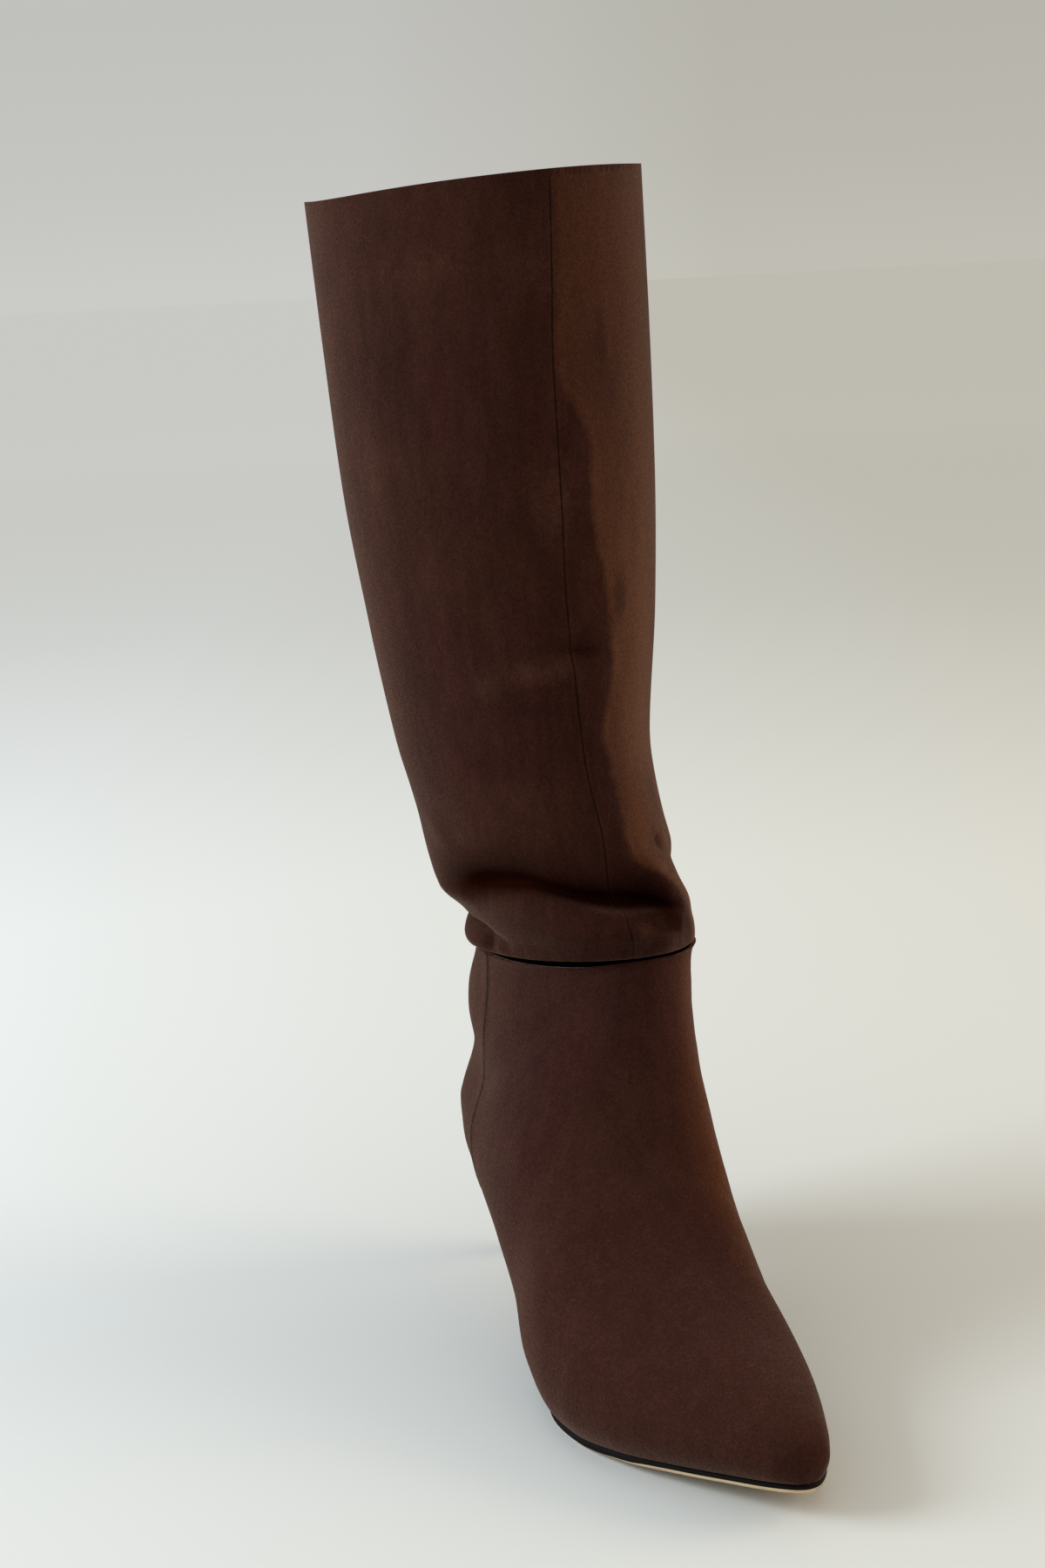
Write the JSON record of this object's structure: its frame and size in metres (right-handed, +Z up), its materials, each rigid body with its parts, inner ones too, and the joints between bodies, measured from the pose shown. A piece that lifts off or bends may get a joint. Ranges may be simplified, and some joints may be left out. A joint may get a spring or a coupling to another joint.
{
  "type": "knee-high boot",
  "caption": "Knee-high pull-on slouch boot for the right foot, pointed toe, covered slim heel, seamed shaft gathered at the ankle.",
  "frame": {"origin": "centre of the boot's bounding box, on the floor that it stands on", "axes": "+X towards the toe, +Y towards the inner (medial) side, +Z up"},
  "size_m": [0.3026, 0.1194, 0.4208],
  "materials": {
    "sole_leather": "smooth tan leather board, black painted edge",
    "sock_lining": "matt dark lining",
    "heel_cover": "dark brown suede cover",
    "top_piece": "matt dark grey",
    "upper_suede": "dark brown suede, napped",
    "shaft_suede": "dark brown suede, napped"
  },
  "bodies": {
    "root": {"outsole": "sole_leather", "insole": "sock_lining", "heel": "heel_cover", "heel_top_piece": "top_piece", "upper": "upper_suede", "shaft": "shaft_suede"}
  },
  "joints": []
}
